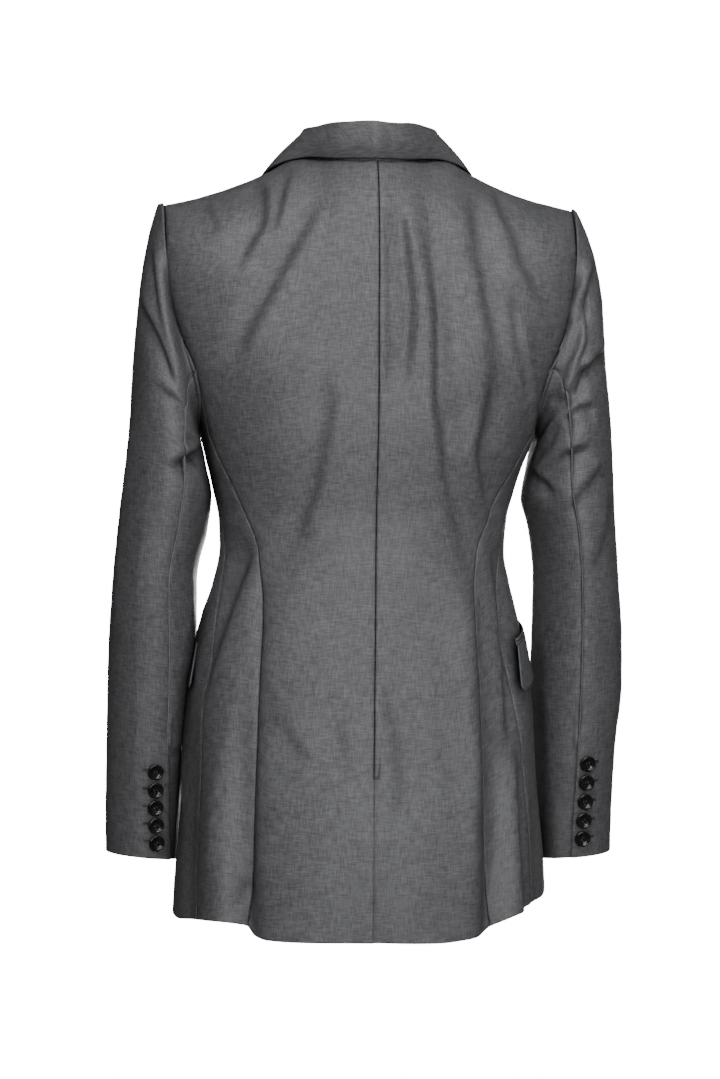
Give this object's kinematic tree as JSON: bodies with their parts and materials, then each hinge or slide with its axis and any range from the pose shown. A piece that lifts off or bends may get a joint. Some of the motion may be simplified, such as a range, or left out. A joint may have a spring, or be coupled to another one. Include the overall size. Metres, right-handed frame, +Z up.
{
  "type": "single breasted blazer, filled out with no wearer",
  "caption": "Tailored single-breasted jacket with shaped waist and flared skirt, notched lapels, flap pockets, buttoned cuff vents and a centre back vent, open and hollow inside.",
  "frame": {"origin": "middle of the neck opening, level with the shoulder line where it meets the neck; the wearer's neck passes through it", "axes": "+Z up towards the collar, the wearer faces -Y, the wearer's left is +X"},
  "size_m": [0.482, 0.2564, 0.7375],
  "materials": {
    "suiting": "plain-woven mid-grey worsted suiting",
    "button": "polished dark polyester resin"
  },
  "bodies": {
    "root": {"back_left": "suiting", "back_right": "suiting", "collar": "suiting", "cuff_button_left_1": "button", "cuff_button_left_2": "button", "cuff_button_left_3": "button", "cuff_button_left_4": "button", "cuff_button_left_5": "button", "cuff_button_right_1": "button", "cuff_button_right_2": "button", "cuff_button_right_3": "button", "cuff_button_right_4": "button", "cuff_button_right_5": "button", "front_button": "button", "front_left": "suiting", "front_right": "suiting", "lapel_left": "suiting", "lapel_right": "suiting", "pocket_flap_left": "suiting", "pocket_flap_right": "suiting", "pocket_welt_left": "suiting", "pocket_welt_right": "suiting", "side_left": "suiting", "side_right": "suiting", "sleeve_top_left": "suiting", "sleeve_top_right": "suiting", "sleeve_under_left": "suiting", "sleeve_under_right": "suiting"}
  },
  "joints": []
}
